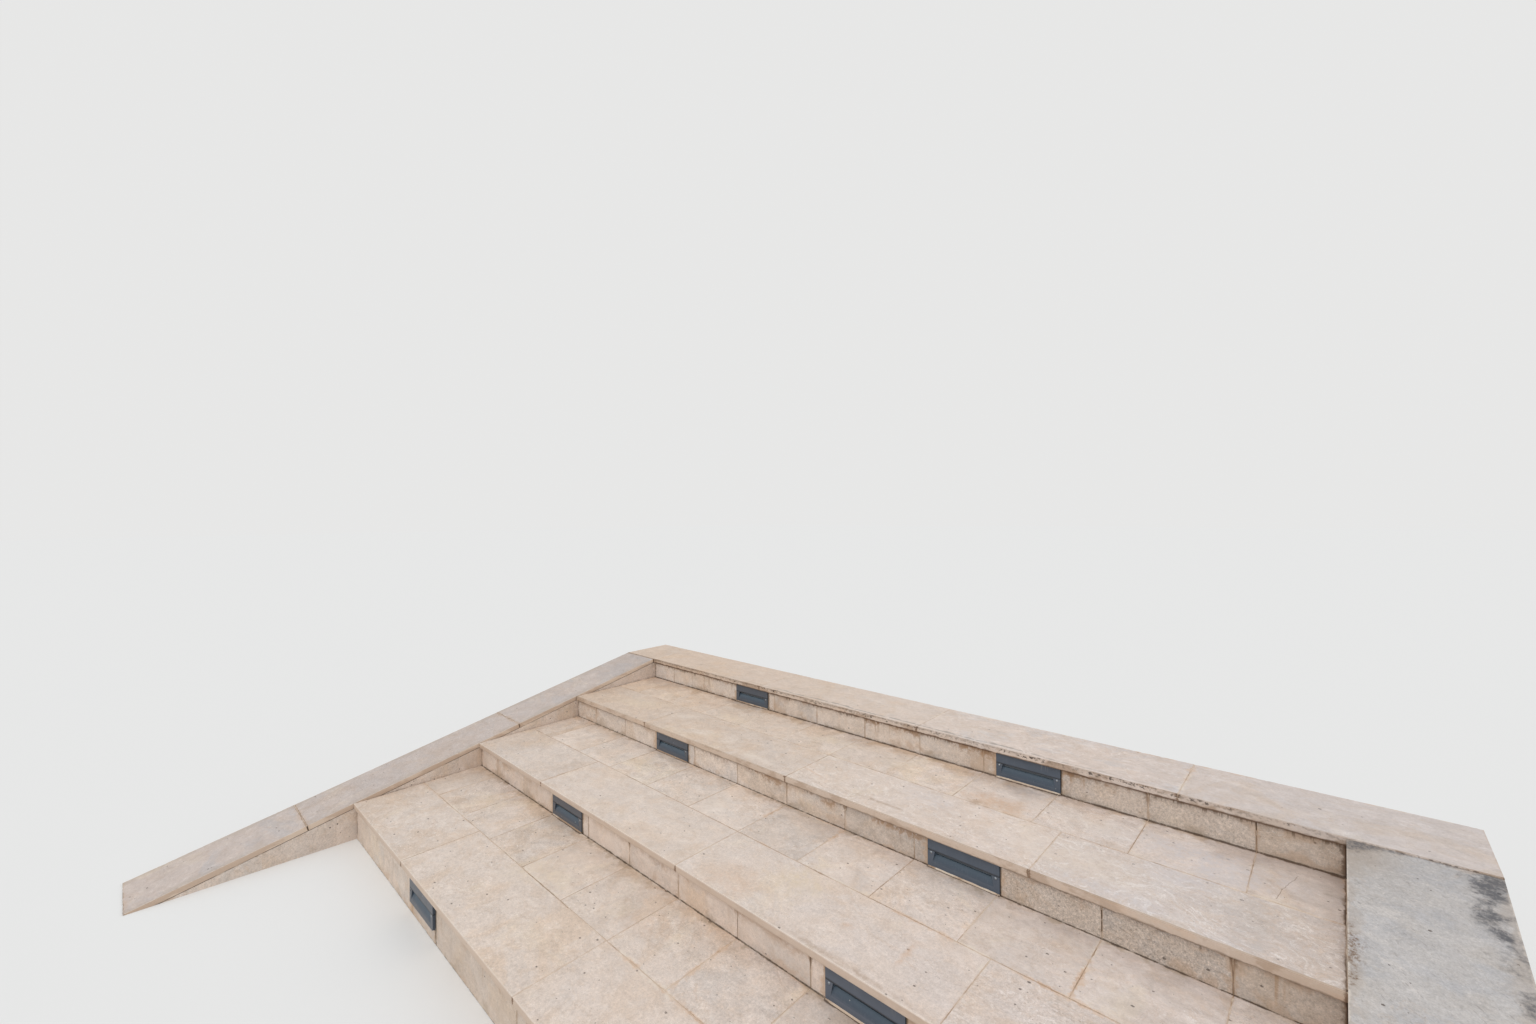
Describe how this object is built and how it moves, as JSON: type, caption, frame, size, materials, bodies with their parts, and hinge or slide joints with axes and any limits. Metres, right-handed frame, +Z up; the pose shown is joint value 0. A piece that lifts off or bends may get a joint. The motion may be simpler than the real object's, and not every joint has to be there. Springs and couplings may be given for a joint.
{
  "type": "outdoor stone steps",
  "caption": "Wide, low outdoor steps of thin limestone slabs between two flush raked copings, with recessed step lights under hooded plates in every riser",
  "frame": {"origin": "middle of the flight's plan, on the level that its foot stands on", "axes": "+X across the flight to the right as one goes up, +Y up the flight, +Z up"},
  "size_m": [4.02, 2.8094, 0.5583],
  "materials": {
    "concrete": "cast concrete, hidden under the slabs",
    "mortar": "sanded lime and cement mortar, stained orange brown",
    "riser_stone": "sawn limestone, speckled, rust and dirt runs at the joints",
    "tread_stone": "honed limestone, cream with faint veins, pinholes and warm patches",
    "facing_stone": "sawn limestone, greyer and rougher, with tan stains",
    "coping_stone": "weathered limestone, pale grey with dark lichen along its edges",
    "light_metal": "satin anthracite powder coat with a few pale chips",
    "housing": "grey moulded box, hidden behind the plate",
    "light_glass": "frosted glass behind the slot"
  },
  "bodies": {
    "root": {"stair_core": "concrete", "mortar_1": "mortar", "mortar_2": "mortar", "mortar_3": "mortar", "mortar_4": "mortar", "riser_1": "riser_stone", "riser_2": "riser_stone", "riser_3": "riser_stone", "riser_4": "riser_stone", "tread_front_1": "tread_stone", "tread_front_2": "tread_stone", "tread_front_3": "tread_stone", "tread_rear_1": "tread_stone", "tread_rear_2": "tread_stone", "tread_rear_3": "tread_stone", "landing_band": "tread_stone", "left_cheek_wall": "concrete", "right_cheek_wall": "concrete", "left_cheek_inner_face": "facing_stone", "right_cheek_inner_face": "facing_stone", "left_cheek_outer_face": "facing_stone", "right_cheek_outer_face": "facing_stone", "left_coping_bed": "mortar", "right_coping_bed": "mortar", "left_coping": "coping_stone", "right_coping": "coping_stone", "back_face": "facing_stone", "light_plates_1": "light_metal", "light_plates_2": "light_metal", "light_plates_3": "light_metal", "light_plates_4": "light_metal", "light_housings_1": "housing", "light_housings_2": "housing", "light_housings_3": "housing", "light_housings_4": "housing", "light_glass_1": "light_glass", "light_glass_2": "light_glass", "light_glass_3": "light_glass", "light_glass_4": "light_glass"}
  },
  "joints": []
}
